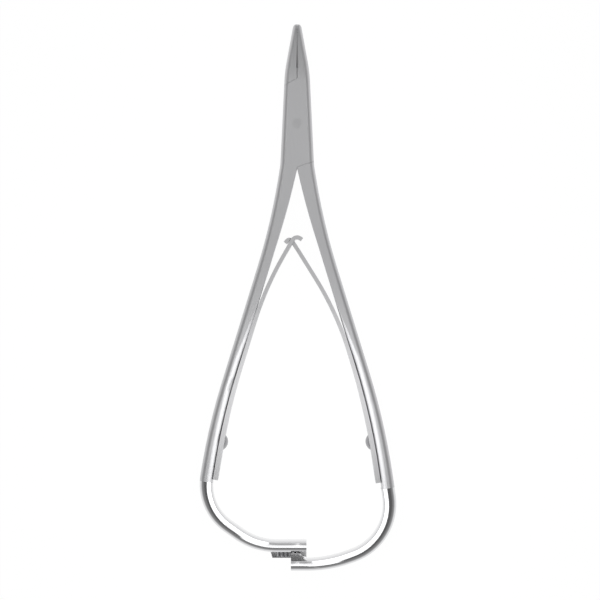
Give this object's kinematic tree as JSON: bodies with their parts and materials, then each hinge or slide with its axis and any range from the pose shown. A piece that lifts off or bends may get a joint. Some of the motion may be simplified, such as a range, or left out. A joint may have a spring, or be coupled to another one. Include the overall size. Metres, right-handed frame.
{
  "type": "surgical needle holder",
  "caption": "Needle holder with a box lock, cross-cut jaws, curved palm handles, a palm ratchet and two leaf springs that hook together.",
  "frame": {"origin": "on the pivot's axis, at the rear face that the instrument lies on", "axes": "+Y runs to the jaw tips, +X to the right with the jaws up, +Z out of the front face towards the viewer"},
  "size_m": [0.0502, 0.1397, 0.0056],
  "materials": {
    "satin_steel": "fine satin, polished to a mirror on the palm bows",
    "polished_steel": "polished"
  },
  "bodies": {
    "box_side": {"box_half": "satin_steel", "pivot_pin": "satin_steel", "left_leaf_spring": "polished_steel", "left_spring_rivet": "polished_steel"},
    "tongue_side": {"tongue_half": "satin_steel", "right_leaf_spring": "polished_steel", "right_spring_rivet": "polished_steel"}
  },
  "joints": [
    {"name": "jaw_pivot", "type": "hinge", "parent": "box_side", "child": "tongue_side", "pos_m": [0, 0, 0], "axis": [0, 0, 1], "range_deg": [0, 18], "deforming": ["left_leaf_spring", "right_leaf_spring"]}
  ]
}
